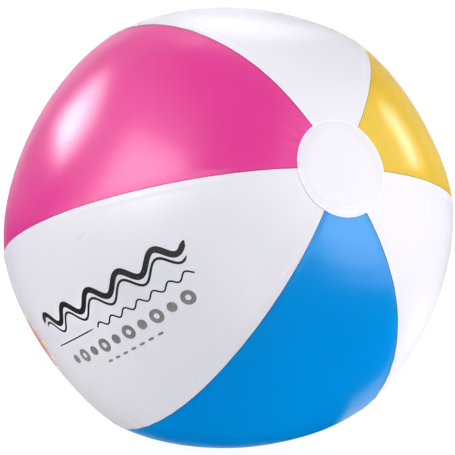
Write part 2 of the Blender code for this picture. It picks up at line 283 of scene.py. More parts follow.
def skin(colatitude, longitude, lift):
    """World points of the inflated skin, lift metres outside the coloured gores' outer face."""
    colatitude, longitude, lift = np.broadcast_arrays(colatitude, longitude, lift)
    phase = seam_phase(longitude)
    fade = np.abs(np.sin(colatitude)) ** RIDGE_FADE
    ridge = RIDGE * np.cos(6.0 * phase) + RIDGE_CREST * np.cos(12.0 * phase)
    ridge = fade * (ridge + RIDGE_CREASE * (0.5 - np.abs(np.sin(3.0 * phase))))
    radius = base_radius(colatitude) * (1.0 + ridge)
    radius = radius + lift + puckers(colatitude, longitude) + undulation(colatitude, longitude)
    radius = radius + pleats(colatitude, longitude)
    direction = np.stack((np.sin(colatitude) * np.cos(longitude), np.sin(colatitude) * np.sin(longitude),
                          np.cos(colatitude)), axis=-1)
    return rest_on_floor(to_world(radius[..., None] * direction))


# Materials

class Shader:
    """One material's node tree, put together with short calls."""

    def __init__(self, name, **settings):
        self.material = bpy.data.materials.new(name)
        self.material.use_nodes = True
        self.tree = self.material.node_tree
        self.tree.nodes.clear()
        output = self.tree.nodes.new("ShaderNodeOutputMaterial")
        self.surface = self.tree.nodes.new("ShaderNodeBsdfPrincipled")
        self.tree.links.new(self.surface.outputs["BSDF"], output.inputs["Surface"])
        self.place = self.tree.nodes.new("ShaderNodeTexCoord").outputs["Object"]
        for key, value in settings.items():
            self.feed(self.surface.inputs[key.replace("_", " ")], value)

    def feed(self, socket, value):
        if isinstance(value, bpy.types.NodeSocket):
            self.tree.links.new(value, socket)
        elif isinstance(value, (tuple, list)) and len(value) == 3 and socket.type == "RGBA":
            socket.default_value = (*value, 1.0)
        else:
            socket.default_value = value

    def math(self, operation, a, b=0.0):
        made = self.tree.nodes.new("ShaderNodeMath")
        made.operation = operation
        self.feed(made.inputs[0], a)
        self.feed(made.inputs[1], b)
        return made.outputs[0]

    def vector(self, operation, a, b):
        made = self.tree.nodes.new("ShaderNodeVectorMath")
        made.operation = operation
        self.feed(made.inputs[0], a)
        self.feed(made.inputs[1], b)
        return made.outputs["Value" if operation == "DOT_PRODUCT" else "Vector"]

    def noise(self, scale, detail=2.0, stretch=None):
        made = self.tree.nodes.new("ShaderNodeTexNoise")
        place = self.place if stretch is None else self.vector("MULTIPLY", self.place, stretch)
        self.feed(made.inputs["Vector"], place)
        made.inputs["Scale"].default_value = scale
        made.inputs["Detail"].default_value = detail
        return made.outputs["Fac"]

    def span(self, value, low, high, start=0.0, end=1.0):
        made = self.tree.nodes.new("ShaderNodeMapRange")
        made.interpolation_type = "SMOOTHSTEP"
        for key, number in (("Value", value), ("From Min", low), ("From Max", high), ("To Min", start),
                            ("To Max", end)):
            self.feed(made.inputs[key], number)
        return made.outputs["Result"]

    def mix(self, share, a, b):
        made = self.tree.nodes.new("ShaderNodeMix")
        made.data_type = "RGBA"
        self.feed(made.inputs[0], share)
        self.feed(made.inputs[6], a)
        self.feed(made.inputs[7], b)
        return made.outputs[2]

    def attribute(self, name, kind="Fac"):
        made = self.tree.nodes.new("ShaderNodeAttribute")
        made.attribute_name = name
        return made.outputs[kind]

    def bump(self, height, distance, below=None):
        made = self.tree.nodes.new("ShaderNodeBump")
        made.inputs["Strength"].default_value = 1.0
        made.inputs["Distance"].default_value = distance
        self.feed(made.inputs["Height"], height)
        if below is not None:
            self.feed(made.inputs["Normal"], below)
        return made.outputs["Normal"]

    def line(self, start, middle, end, width):
        """A mask of 1 on a gently bent line through three points, fading out at both ends."""
        start, middle, end = (np.asarray(p, float) for p in (start, middle, end))
        along = (end - start) / np.linalg.norm(end - start)
        out = middle - CENTRE
        out = out / np.linalg.norm(out)
        across = np.cross(out, along)
        across = across / np.linalg.norm(across)
        half = float(np.linalg.norm(end - start)) / 2.0
        centre = (start + end) / 2.0
        bend = float(np.dot(middle - centre, across))
        offset = self.vector("SUBTRACT", self.place, tuple(centre))
        u = self.vector("DOT_PRODUCT", offset, tuple(along))
        v = self.vector("DOT_PRODUCT", offset, tuple(across))
        share = self.math("POWER", self.math("ABSOLUTE", self.math("DIVIDE", u, half)), 2.0)
        curve = self.math("MULTIPLY", self.math("SUBTRACT", 1.0, share), bend)
        away = self.math("ABSOLUTE", self.math("SUBTRACT", v, curve))
        near = self.span(away, 0.0, width, 1.0, 0.0)
        inside = self.span(share, 0.35, 1.0, 1.0, 0.0)
        depth = self.span(self.vector("DOT_PRODUCT", offset, tuple(out)), -0.02, -0.019)
        return self.math("MULTIPLY", self.math("MULTIPLY", near, inside), depth)


# Creases left from folding: three points each, as colatitude and longitude in degrees on the ball
CREASES = {
    "panel_pink": (((74.1, 145.6), (69.5, 144.9), (65.4, 144.3)),
                   ((72.1, 158.4), (70.6, 158.4), (68.9, 158.9)),
                   ((68.4, 146.0), (66.7, 147.7), (66.0, 150.1))),
    "panel_white_printed": (((64.0, 183.6), (66.0, 184.5), (68.2, 184.8)),
                            ((118.0, 214.0), (121.0, 216.0), (125.0, 216.5))),
    "panel_blue": (((98.0, 276.0), (101.0, 280.0), (106.0, 282.0)),),
    "panel_white_right": (((96.0, 330.0), (102.0, 331.0), (107.0, 335.0)),),
    "panel_yellow": (((110.0, 372.0), (114.0, 376.0), (119.0, 377.0)),),
    "panel_white_top": (((100.0, 452.0), (104.0, 456.0), (110.0, 457.0)),),
}


def crease_mask(shader, gore):
    """All of one gore's folding creases in one mask."""
    total = None
    for crease in CREASES[gore]:
        ends = [skin(np.radians(t), np.radians(l), 0.0) for t, l in crease]
        mask = shader.line(*ends, width=CREASE_WIDTH)
        total = mask if total is None else shader.math("MAXIMUM", total, mask)
    return total


def film_finish(shader, colour, deep, roughness, creases=None, ribs=None):
    """What every film shares: mottling, handling marks and fine grain, with any creases and ribs on top."""
    cloud = shader.span(shader.noise(11.0, 3.0), 0.3, 0.7)
    fleck = shader.span(shader.noise(420.0, 2.0), 0.66, 0.78)
    tone = shader.mix(shader.math("MULTIPLY", cloud, 0.5), colour, deep)
    tone = shader.mix(shader.math("MULTIPLY", fleck, 0.05), tone, deep)
    rub = shader.span(shader.noise(36.0, 5.0, stretch=(1.0, 0.35, 1.6)), 0.42, 0.86)
    scratch = shader.span(shader.noise(95.0, 3.0, stretch=(0.15, 1.0, 1.4)), 0.66, 0.72)
    rough = shader.math("ADD", shader.math("MULTIPLY", rub, 0.025), shader.math("MULTIPLY", scratch, 0.008))
    shader.feed(shader.surface.inputs["Roughness"], shader.math("ADD", rough, roughness))
    normal = shader.bump(shader.noise(230.0, 2.0), 0.000015)
    normal = shader.bump(shader.noise(1500.0, 2.0), 0.000006, normal)
    normal = shader.bump(scratch, 0.0000015, normal)
    if creases is not None:
        normal = shader.bump(creases, -0.00008, normal)
        # Painted shade: the film's colour is darkened along each crease, as shade in the fold
        tone = shader.mix(shader.math("MULTIPLY", creases, 0.35), tone, tuple(0.55 * c for c in deep))
    if ribs is not None:
        normal = shader.bump(ribs, 0.00004, normal)
    shader.feed(shader.surface.inputs["Normal"], normal)
    return tone


def weld_ribs(shader):
    """Fine ribs across a gore's welded edge, left by the welding bar."""
    wave = shader.math("SINE", shader.math("MULTIPLY", shader.attribute("along"), TURN / WELD_PITCH))
    return shader.math("MULTIPLY", wave, shader.attribute("weld"))


def gore_material(gore, colour, deep):
    """Glossy vinyl of one gore. Its welded edge shows as a strip, with a line where the strip ends. A white
    gore's cut edge has a painted highlight, and a coloured gore has painted shadow beside the seam where the
    white gore laps over it.
    """
    shader = Shader("mat_" + gore, IOR=1.45, Specular_IOR_Level=0.36)
    tone = film_finish(shader, colour, deep, 0.25, crease_mask(shader, gore), weld_ribs(shader))
    edge = shader.attribute("edge")
    if colour == WHITE_FILM:
        strip = shader.attribute("weld")
        tone = shader.mix(shader.math("MULTIPLY", strip, 0.35), tone, WELDED_WHITE)
        # Painted highlight: the white film's cut edge at the seam is brightened as if it caught the light
        rim = shader.span(edge, 0.0001, 0.0006, 1.0, 0.0)
        tone = shader.mix(shader.math("MULTIPLY", rim, 0.4), tone, PAINTED_EDGE_HIGHLIGHT)
        from_line = shader.math("ABSOLUTE", shader.math("SUBTRACT", edge, SEAM_LAP + 0.0003))
        inner = shader.span(from_line, 0.0, 0.0006, 1.0, 0.0)
        tone = shader.mix(shader.math("MULTIPLY", inner, 0.03), tone, LINE_GREY)
    else:
        # Painted shadow: the coloured film darkens next to the seam as the white gore's lapped edge would
        # shade it; shade is the broad part, and line is the narrow, darkest band of the same shadow
        shade = shader.span(edge, 0.0, 0.0012, 1.0, 0.0)
        tone = shader.mix(shader.math("MULTIPLY", shade, 0.35), tone, tuple(0.6 * c for c in deep))
        line = shader.span(edge, 0.0004, 0.0010, 1.0, 0.0)
        tone = shader.mix(shader.math("MULTIPLY", line, 0.8), tone, tuple(0.30 * c for c in deep))
    shader.feed(shader.surface.inputs["Base Color"], tone)
    return shader.material


def disc_material():
    """White film of an end disc. The coloured tips under its weld tint it slightly. Its cut rim has a painted
    highlight, and the grooves between its weld teeth have painted shade.
    """
    shader = Shader("mat_end_disc", IOR=1.45, Specular_IOR_Level=0.42)
    tone = film_finish(shader, WHITE_FILM, WHITE_DEEP, 0.23)
    under = shader.attribute("under", "Color")
    covered = shader.attribute("covered")
    tone = shader.mix(shader.math("MULTIPLY", covered, 0.045), tone, under)
    from_rim = shader.attribute("from_rim")
    # Painted highlight: the disc's cut rim is brightened as if it caught the light
    rim = shader.span(from_rim, 0.0003, 0.0010, 1.0, 0.0)
    tone = shader.mix(shader.math("MULTIPLY", rim, 0.3), tone, PAINTED_EDGE_HIGHLIGHT)
    # Painted shade: the low weld teeth, where groove is 1, are greyed as shade in the grooves
    groove = shader.attribute("groove")
    tone = shader.mix(shader.math("MULTIPLY", groove, 0.14), tone, LINE_GREY)
    shader.feed(shader.surface.inputs["Base Color"], tone)
    return shader.material


def ink_material(name, colour, worn):
    """Flexible ink: satin, a little uneven in density, with pinholes where the film shows."""
    shader = Shader("mat_ink_" + name, IOR=1.45, Specular_IOR_Level=0.35)
    density = shader.span(shader.noise(160.0, 3.0), 0.35, 0.7)
    tone = shader.mix(shader.math("MULTIPLY", density, 0.35), colour, worn)
    pinhole = shader.span(shader.noise(900.0, 1.0), 0.70, 0.74)
    tone = shader.mix(shader.math("MULTIPLY", pinhole, 0.35), tone, WHITE_FILM)
    shader.feed(shader.surface.inputs["Base Color"], tone)
    rough = shader.span(shader.noise(70.0, 3.0), 0.3, 0.7, 0.30, 0.42)
    shader.feed(shader.surface.inputs["Roughness"], rough)
    shader.feed(shader.surface.inputs["Normal"], shader.bump(shader.noise(700.0, 2.0), 0.00001))
    return shader.material


def valve_material():
    """Moulded soft vinyl of the valve: milky, satin, with faint flow marks and specks of dirt."""
    shader = Shader("mat_valve", IOR=1.45, Specular_IOR_Level=0.4, Subsurface_Weight=0.15,
                    Subsurface_Scale=0.002, Subsurface_Radius=(1.0, 0.9, 0.8))
    flow = shader.span(shader.noise(240.0, 3.0, stretch=(1.0, 1.0, 3.0)), 0.35, 0.7)
    tone = shader.mix(shader.math("MULTIPLY", flow, 0.6), VALVE_WHITE, VALVE_DEEP)
    speck = shader.span(shader.noise(1300.0, 1.0), 0.72, 0.76)
    tone = shader.mix(shader.math("MULTIPLY", speck, 0.25), tone, LINE_GREY)
    shader.feed(shader.surface.inputs["Base Color"], tone)
    rough = shader.span(shader.noise(400.0, 3.0), 0.3, 0.7, 0.36, 0.48)
    shader.feed(shader.surface.inputs["Roughness"], rough)
    normal = shader.bump(shader.noise(2600.0, 2.0), 0.000010)
    shader.feed(shader.surface.inputs["Normal"], shader.bump(shader.noise(500.0, 2.0), 0.00002, normal))
    return shader.material


# Meshes

def mesh_object(name, shells, material, values=None, sharp=40.0):
    """One object from closed shells, each a pair of points and faces. Values are attributes on its points."""
    points = np.concatenate([shell[0] for shell in shells])
    offsets = np.cumsum([0] + [len(shell[0]) for shell in shells])
    faces = [[int(i) + int(offset) for i in face]
             for shell, offset in zip(shells, offsets) for face in shell[1]]
    mesh = bpy.data.meshes.new(name)
    mesh.from_pydata(points.tolist(), [], faces)
    for key, numbers in (values or {}).items():
        colour = numbers.ndim == 2
        attribute = mesh.attributes.new(key, "FLOAT_COLOR" if colour else "FLOAT", "POINT")
        flat = np.ascontiguousarray(numbers, np.float32).reshape(-1)
        attribute.data.foreach_set("color" if colour else "value", flat)
    tidy = bmesh.new()
    tidy.from_mesh(mesh)
    bmesh.ops.remove_doubles(tidy, verts=tidy.verts, dist=2e-7)
    bmesh.ops.dissolve_degenerate(tidy, edges=tidy.edges, dist=1e-7)
    bmesh.ops.recalc_face_normals(tidy, faces=tidy.faces)
    tidy.to_mesh(mesh)
    tidy.free()
    mesh.shade_smooth()
    mesh.set_sharp_from_angle(angle=math.radians(sharp))
    mesh.materials.append(material)
    obj = bpy.data.objects.new(name, mesh)
    bpy.context.scene.collection.objects.link(obj)
    return obj


def grid_faces(rows, columns, closed):
    """Quads of a grid whose points are numbered row by row."""
    across = columns if closed else columns - 1
    i, j = np.meshgrid(np.arange(rows - 1), np.arange(across), indexing="ij")
    right = (j + 1) % columns
    return np.stack((i * columns + j, (i + 1) * columns + j, (i + 1) * columns + right, i * columns + right),
                    axis=-1).reshape(-1, 4)


def sheet_shell(outer, thickness, closed=False):
    """A closed shell: a grid of outer points, the same grid moved inwards, and the edges between them."""
    rows, columns = outer.shape[:2]
    inward = CENTRE - outer
    inward = inward / np.linalg.norm(inward, axis=-1, keepdims=True)
    inner = outer + thickness * inward
    count = rows * columns
    top = grid_faces(rows, columns, closed)
    index = np.arange(count).reshape(rows, columns)
    rims = [index[0], index[-1]]
    if not closed:
        rims += [index[:, 0], index[:, -1]]
    sides = []
    for rim in rims:
        following = np.roll(rim, -1) if closed else rim[1:]
        here = rim if closed else rim[:-1]
        sides.append(np.stack((here, following, following + count, here + count), axis=-1))
    faces = np.concatenate([top, top[:, ::-1] + count, *sides])
    return np.concatenate([outer.reshape(-1, 3), inner.reshape(-1, 3)]), faces


def both_sides(numbers):
    """Point values of a sheet, for its outer and then its inner points."""
    flat = numbers.reshape(-1, numbers.shape[-1]) if numbers.ndim == 3 else numbers.reshape(-1)
    return np.concatenate((flat, flat))


def stand_for(node):
    """This piece is shown in place of that CAD node."""
    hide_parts(node)


def smooth_step(value, low, high):
    share = np.clip((value - low) / (high - low), 0.0, 1.0)
    return share * share * (3.0 - 2.0 * share)


# The gores and the end discs

def edge_steps(lap):
    """Distances from a seam of the columns near it: across the lap, over its step, and a little way on."""
    under = (-lap, -lap * 0.6, -lap * 0.2) if lap else ()
    return np.array((*under, 0.0, 0.0004, 0.0012, 0.0020, 0.0028, 0.0034, 0.0038, 0.0042, 0.0048, 0.0058,
                     0.0072, 0.0092))


def gore_grid(gore):
    """Colatitudes, longitudes and edge distances of a fine grid over one gore."""
    start = SEAMS[gore]
    end = SEAMS[gore + 1] if gore + 1 < len(SEAMS) else SEAMS[0] + TURN
    colatitudes = np.linspace(TIP_COLATITUDE, math.pi - TIP_COLATITUDE, GORE_ROWS + 1)[:, None]
    around = BALL_RADIUS * np.sin(colatitudes)
    steps = edge_steps(0.0 if gore % 2 else SEAM_LAP)
    half = (end - start) * around / 2.0
    last = steps[-1]
    inner = last + (half - last) * np.linspace(0.0, 1.0, GORE_COLUMNS + 1)[None, 1:]
    side = np.concatenate((np.broadcast_to(steps, (len(colatitudes), len(steps))), inner), axis=1)
    distances = np.concatenate((side, side[:, -2::-1]), axis=1)
    left = start + side / around
    right = end - side[:, -2::-1] / around
    longitudes = np.concatenate((left, right), axis=1)
    return np.broadcast_to(colatitudes, longitudes.shape), longitudes, distances


def build_gore(gore, material):
    """One gore. A white gore steps up over the lap of its coloured neighbours along both edges."""
    name = GORES[gore]
    colatitudes, longitudes, distances = gore_grid(gore)
    weld = 1.0 - smooth_step(distances, SEAM_LAP - 0.0002, SEAM_LAP + 0.0024)
    lift = LAP_STEP * weld if gore % 2 else np.zeros(longitudes.shape)
    points = skin(colatitudes, longitudes, lift)
    values = {"weld": both_sides(weld), "along": both_sides(BALL_RADIUS * colatitudes),
              "edge": both_sides(distances)}
    obj = mesh_object("film_" + name, [sheet_shell(points, FILM)], material, values)
    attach(obj, "ball")
    stand_for(name)


def disc_radii(inner):
    """Radii of a disc's rows: open film, then the two toothed rings of the weld, then its plain rim."""
    film = np.linspace(inner, DISC_RADIUS - DISC_LAP - 0.0015, 12)
    step = np.linspace(DISC_RADIUS - DISC_LAP, DISC_RADIUS - 0.0066, 4)
    teeth = DISC_RADIUS - np.array([depth for low, high in TOOTH_BANDS
                                    for depth in (high + TOOTH_EDGE, high, low, low - TOOTH_EDGE)])
    rim = DISC_RADIUS - np.array((0.0005, 0.0))
    return np.concatenate((film, step, teeth, rim))


def build_disc(name, rear, inner, material):
    """An end disc: a toothed weld ring over the tips of the gores, and slack film inside it."""
    radii = disc_radii(inner)[:, None]
    columns = 2 * round(TURN * (DISC_RADIUS - 0.0033) / WELD_PITCH)
    longitudes = (TURN * np.arange(columns) / columns)[None, :]
    shift_x, shift_y = (0.0, 0.0) if rear else DISC_SHIFT
    x = radii * np.cos(longitudes) + shift_x
    y = radii * np.sin(longitudes) + shift_y
    colatitudes = np.arcsin(np.clip(np.hypot(x, y) / POLE_HEIGHT, 0.0, 1.0))
    if rear:
        colatitudes = math.pi - colatitudes
    from_rim = DISC_RADIUS - radii
    in_teeth = np.any([(from_rim > low - TOOTH_EDGE / 2.0) & (from_rim < high + TOOTH_EDGE / 2.0)
                       for low, high in TOOTH_BANDS], axis=0)
    tooth = np.where(np.arange(columns) % 2 == 0, 1.0, -1.0)[None, :]
    trough = smooth_step(from_rim, 0.0004, 0.0012) * (1.0 - smooth_step(from_rim, 0.0060, 0.0066))
    lift = DISC_LIFT - 0.00018 * smooth_step(from_rim, DISC_LAP - 0.0010, DISC_LAP + 0.0030)
    lift = lift + TOOTH_HEIGHT * (in_teeth * tooth - trough)
    slack = smooth_step(from_rim, DISC_LAP, 0.016) * radii / DISC_RADIUS
    slack = 0.00007 * np.sin(3.0 * longitudes + 0.7) * slack
    points = skin(colatitudes, np.arctan2(y, x), lift + slack)
    shape = points.shape[:2]
    gore = np.searchsorted(SEAMS, SEAMS[0] + np.mod(longitudes[0] - SEAMS[0], TURN), side="right") - 1
    under = np.array([GORE_COLOURS[GORES[g]][0] for g in gore])
    under = np.concatenate((under, np.ones((columns, 1))), axis=1)
    covered = 1.0 - smooth_step(from_rim, DISC_LAP - 0.0004, DISC_LAP + 0.0004)
    # groove marks the low weld teeth, which the disc material greys as painted shade
    values = {"from_rim": np.broadcast_to(from_rim, shape), "covered": np.broadcast_to(covered, shape),
              "groove": in_teeth * np.broadcast_to((tooth < 0.0) * 1.0, shape),
              "under": np.broadcast_to(under[None, :, :], (*shape, 4))}
    values = {key: both_sides(np.ascontiguousarray(numbers)) for key, numbers in values.items()}
    obj = mesh_object("film_" + name, [sheet_shell(points, FILM, closed=True)], material, values)
    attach(obj, "ball")
    stand_for(name)


# The print: a plain seaside pattern of waves, pebbles and a striped sun

def on_print(u, v):
    """A point of the print: u metres from its start towards the rear, v metres round from its middle line."""
    colatitude = PRINT_START + np.asarray(u) / BALL_RADIUS
    longitude = PRINT_MIDDLE + np.asarray(v) / (BALL_RADIUS * np.sin(colatitude))
    return skin(colatitude, longitude, PRINT_LIFT)


def ribbon(u, v, width):
    """A printed band along a centre line, tapered over its first and last few points."""
    tangent = np.stack((np.gradient(u), np.gradient(v)), axis=-1)
    tangent = tangent / np.linalg.norm(tangent, axis=-1, keepdims=True)
    count = len(u)
    taper = np.clip(np.minimum(np.arange(count), count - 1 - np.arange(count)) / 3.0, 0.0, 1.0)
    half = width / 2.0 * np.sqrt(np.clip(taper, 0.02, 1.0))
    side = np.linspace(-1.0, 1.0, 4)[None, :]
    across_u = u[:, None] - tangent[:, 1:2] * half[:, None] * side
    across_v = v[:, None] + tangent[:, 0:1] * half[:, None] * side
    return sheet_shell(on_print(across_u, across_v), INK)


def blot(u, v, outer, inner=0.0, steps=28):
    """A printed dot, or a ring."""
    angles = (TURN * np.arange(steps) / steps)[None, :]
    radii = np.linspace(inner, outer, 4)[:, None]
    return sheet_shell(on_print(u + radii * np.cos(angles), v + radii * np.sin(angles)), INK, closed=True)


def wave_line(start, end, middle, swing, length):
    """A centre line that rises and falls like a small swell."""
    count = int((end - start) / length * WAVE_STEPS)
    u = np.linspace(start, end, count)
    return u, middle + swing * np.sin(TURN * u / length)


def build_print():
    """Swells, ripples, pebbles and dashes in view, and a sun with rays further round."""
    black, grey, red, yellow = (ink_material(name, *tones) for name, tones in INKS.items())
    swells = [ribbon(*wave_line(0.000, 0.150, -0.0165, 0.0052, 0.0300), 0.0042),
              ribbon(*wave_line(0.003, 0.147, -0.0102, 0.0052, 0.0300), 0.0018)]
    ripples = [ribbon(*wave_line(0.004, 0.092, 0.0030, 0.0020, 0.0130), 0.0012),
               ribbon(np.linspace(0.096, 0.148, 30), np.full(30, 0.0030), 0.0010)]
    pebbles = []
    for k, u in enumerate(np.linspace(0.018, 0.136, 10)):
        outer = (0.0052, 0.0036)[k % 2]
        pebbles.append(blot(u, 0.0165, outer, 0.0020 if k % 2 == 0 else 0.0))
    dashes = [ribbon(np.linspace(u, u + 0.0052, 10), np.full(10, 0.0280), 0.0018)
              for u in np.arange(0.048, 0.104, 0.0085)]
    sun = [blot(SUN_AT, SUN_SIDE, 0.0200, 0.0150, steps=64), blot(SUN_AT, SUN_SIDE, 0.0105, steps=48)]
    out = np.linspace(0.0225, 0.0285, 8)
    rays = [ribbon(SUN_AT + out * math.cos(a), SUN_SIDE + out * math.sin(a), 0.0036)
            for a in TURN * np.arange(12) / 12]
    for name, shells, ink in (("print_swells", swells, black), ("print_ripples", ripples, black),
                              ("print_pebbles", pebbles, grey), ("print_dashes", dashes, grey),
                              ("print_sun", sun, red), ("print_rays", rays, yellow)):
        obj = mesh_object(name, shells, ink)
        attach(obj, "ball")


# The valve. Points here are x, y, z in its own frame: z points out of the ball, y towards the strap.

STEM_RADIUS = 0.0060
BORE_RADIUS = 0.0045
STEM_END = SEAT - 0.0146
STEM_LIP = 0.0009
HEAD_RADIUS = 0.0072
HEAD_BASE = 0.0015
HEAD_THICKNESS = 0.0016
PLUG_LENGTH = 0.0050
PLUG_WALL = 0.0014
TAB_LENGTH = 0.0026
TAB_WIDTH = 0.0056
TAB_THICKNESS = 0.0010
FOLD_RADIUS = 0.0011
STRAP_WIDTH = 0.0042
STRAP_THICKNESS = 0.0007
FLAP_RADIUS = 0.0054
FLAP_THICKNESS = 0.0004
FLANGE_RADIUS = 0.0200
FLANGE_TOP = -0.000866
FLANGE_THICKNESS = 0.0008
FLANGE_GROOVE = 0.00012
GRIP_HEIGHT = 0.0014
GRIP_DEPTH = 0.00025
HEAD_GROOVE = 0.00018
SLEEVE_WALL = 0.0005
CLEARANCE = 0.0003


def from_valve(points):
    """World places of points in the valve's frame."""
    points = np.asarray(points, float)
    return VALVE_ORIGIN + points[..., 0:1] * BALL_X - points[..., 1:2] * BALL_Y + points[..., 2:3] * VALVE_OUT


def rounded(profile, radius, steps=4):
    """A closed outline with its corners rounded. A corner on the axis stays."""
    profile = [np.array(point, float) for point in profile]
    result = []
    for i, corner in enumerate(profile):
        before, after = profile[i - 1], profile[(i + 1) % len(profile)]
        if corner[0] < 1e-9:
            result.append(corner)
            continue
        to_before, to_after = before - corner, after - corner
        reach = min(radius, 0.45 * np.linalg.norm(to_before), 0.45 * np.linalg.norm(to_after))
        first = corner + to_before / np.linalg.norm(to_before) * reach
        last = corner + to_after / np.linalg.norm(to_after) * reach
        for step in range(steps + 1):
            t = step / steps
            result.append((1 - t) ** 2 * first + 2 * t * (1 - t) * corner + t * t * last)
    return result


def turned_shell(profile, columns=72):
    """A closed shell turned round the valve's axis from a closed outline of radius and height."""
    outline = np.array([*profile, profile[0]])
    angles = (TURN * np.arange(columns) / columns)[None, :]
    radius, height = outline[:, 0:1], outline[:, 1:2]
    points = np.stack((radius * np.cos(angles), radius * np.sin(angles), height + 0.0 * angles), axis=-1)
    return from_valve(points).reshape(-1, 3), grid_faces(len(outline), columns, True)


def strip_shell(path, width, thickness):
    """A flat strip with rounded edges along a path of y and z."""
    path = np.array(path, float)
    tangent = np.gradient(path, axis=0)
    tangent = tangent / np.linalg.norm(tangent, axis=1, keepdims=True)
    normal = np.stack((-tangent[:, 1], tangent[:, 0]), axis=1)
    section = rounded([(width, -thickness / 2), (width, thickness / 2), (2 * width, thickness / 2),
                       (2 * width, -thickness / 2)], thickness * 0.4, 3)
    section = np.array(section) - (1.5 * width, 0.0)
    rings = np.stack((np.broadcast_to(section[None, :, 0], (len(path), len(section))),
                      path[:, 0:1] + normal[:, 0:1] * section[None, :, 1],
                      path[:, 1:2] + normal[:, 1:2] * section[None, :, 1]), axis=-1)
    count = len(section)
    faces = [*grid_faces(len(path), count, True).tolist(), list(range(count))[::-1],
             [(len(path) - 1) * count + i for i in range(count)]]
    return from_valve(rings).reshape(-1, 3), faces


def plug_radius(depth):
    """Widest radius at this depth that still swings out of the bore about the strap's fold."""
    swing = HINGE_RADIUS + BORE_RADIUS - CLEARANCE
    return math.sqrt(swing * swing - depth * depth) - HINGE_RADIUS


def build_flange(material):
    """The ring under the rear disc, with a shallow weld groove round it."""
    inner, outer = VALVE_HOLE_RADIUS - CLEARANCE, FLANGE_RADIUS
    middle = FLANGE_TOP - FLANGE_GROOVE
    top = [(inner, FLANGE_TOP), (inner + 0.0016, FLANGE_TOP), (inner + 0.0019, middle),
           (outer - 0.0019, middle), (outer - 0.0016, FLANGE_TOP), (outer, FLANGE_TOP)]
    low = FLANGE_TOP - FLANGE_THICKNESS
    profile = rounded([*top, (outer, low), (inner, low)], 0.00012, 2)
    obj = mesh_object("valve_flange_ring", [turned_shell(profile, 96)], material)
    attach(obj, "ball")
    stand_for("valve_flange")


def build_sleeve(material):
    """The soft cone between flange and stem, which rolls inside out when the stem is drawn out."""
    top = FLANGE_TOP - FLANGE_THICKNESS / 2.0
    foot = STEM_END + STEM_LIP + CLEARANCE
    wide = VALVE_HOLE_RADIUS - CLEARANCE - SLEEVE_WALL
    narrow = STEM_RADIUS + 0.0001
    share = np.linspace(0.0, 1.0, 22)
    ease = share * share * (3.0 - 2.0 * share)
    ripple = 0.00022 * np.sin(TURN * 3.0 * share) * np.sin(math.pi * share)
    radius = wide + (narrow - wide) * (0.45 * share + 0.55 * ease) + ripple
    height = top + (foot - top) * share
    outer = [(r + SLEEVE_WALL, z) for r, z in zip(radius, height)]
    inner = [(r, z) for r, z in zip(radius, height)][::-1]
    obj = mesh_object("valve_sleeve_cone", [turned_shell([*outer, *inner])], material, sharp=60.0)
    stand_for("valve_sleeve")
    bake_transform(obj)


def build_stem(material):
    """The tube that is blown into, with a rolled rim, a grip bead below it and the bead at its inner end."""
    lip = STEM_RADIUS + STEM_LIP
    waist = STEM_RADIUS - GRIP_DEPTH
    profile = [(STEM_RADIUS, SEAT), (STEM_RADIUS, SEAT - GRIP_HEIGHT), (waist, SEAT - GRIP_HEIGHT - 0.0004),
               (waist, STEM_END + STEM_LIP + 0.0004), (lip, STEM_END + STEM_LIP),
               (lip, STEM_END), (BORE_RADIUS, STEM_END), (BORE_RADIUS, SEAT)]
    obj = mesh_object("valve_stem_tube", [turned_shell(rounded(profile, 0.00035))], material)
    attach(obj, "stem")
    stand_for("valve_stem")


def build_stopper(material):
    """The stopper: a hollow plug under a round head with a raised rim, and a ribbed pull tab."""
    head_top = HEAD_BASE + HEAD_THICKNESS
    well_floor = HEAD_BASE - 0.6 * PLUG_LENGTH
    well = BORE_RADIUS - PLUG_WALL
    plug = [(plug_radius(PLUG_LENGTH * step / 4.0), SEAT - PLUG_LENGTH * step / 4.0) for step in range(5)]
    plug[0] = (plug[0][0], HEAD_BASE)
    tip = SEAT - PLUG_LENGTH - CLEARANCE
    profile = [(0.0, well_floor), (BORE_RADIUS - 2.0 * PLUG_WALL, well_floor), (well, head_top),
               (HEAD_RADIUS - 0.0013, head_top), (HEAD_RADIUS - 0.0015, head_top - HEAD_GROOVE),
               (HEAD_RADIUS - 0.0009, head_top - HEAD_GROOVE), (HEAD_RADIUS - 0.0007, head_top),
               (HEAD_RADIUS, head_top), (HEAD_RADIUS, HEAD_BASE), *plug,
               (plug[-1][0] - 0.0006, tip), (0.0, tip)]
    body = turned_shell(rounded(profile, 0.00030, 3))
    obj = mesh_object("valve_stopper_cap", [body, tab_shell()], material)
    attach(obj, "stopper")
    stand_for("valve_stopper")


def tab_shell():
    """The rounded lip that a finger lifts, with two ribs across it."""
    middle = HEAD_BASE + HEAD_THICKNESS / 2.0
    inner, outer = HEAD_RADIUS - 0.0010, HEAD_RADIUS + TAB_LENGTH
    rows, columns = 25, 16
    lengths = np.linspace(0.0, 1.0, rows)
    rounding = np.clip((lengths - 0.45) / 0.55, 0.0, 1.0) ** 2.4
    width = np.maximum(TAB_WIDTH / 2.0 * np.sqrt(1.0 - rounding), 0.0003)
    ribs = 0.00016 * np.clip(np.sin(lengths * math.pi * 6.5 - 2.2), 0.0, 1.0) * (lengths > 0.35)
    half = TAB_THICKNESS / 2.0 * np.clip((1.0 - lengths) * 9.0, 0.35, 1.0)
    angles = TURN * np.arange(columns) / columns
    flat = np.sign(np.cos(angles)) * np.abs(np.cos(angles)) ** 0.4
    tall = np.sign(np.sin(angles)) * np.abs(np.sin(angles)) ** 0.5
    out = np.broadcast_to(-(inner + (outer - inner) * lengths)[:, None], (rows, columns))
    height = middle + half[:, None] * tall + ribs[:, None] * (tall > 0.5)
    rings = np.stack((width[:, None] * flat, out, height), axis=-1)
    last = (rows - 1) * columns
    faces = [*grid_faces(rows, columns, True).tolist(), list(range(columns)),
             list(range(last, last + columns))[::-1]]
    return from_valve(rings).reshape(-1, 3), faces


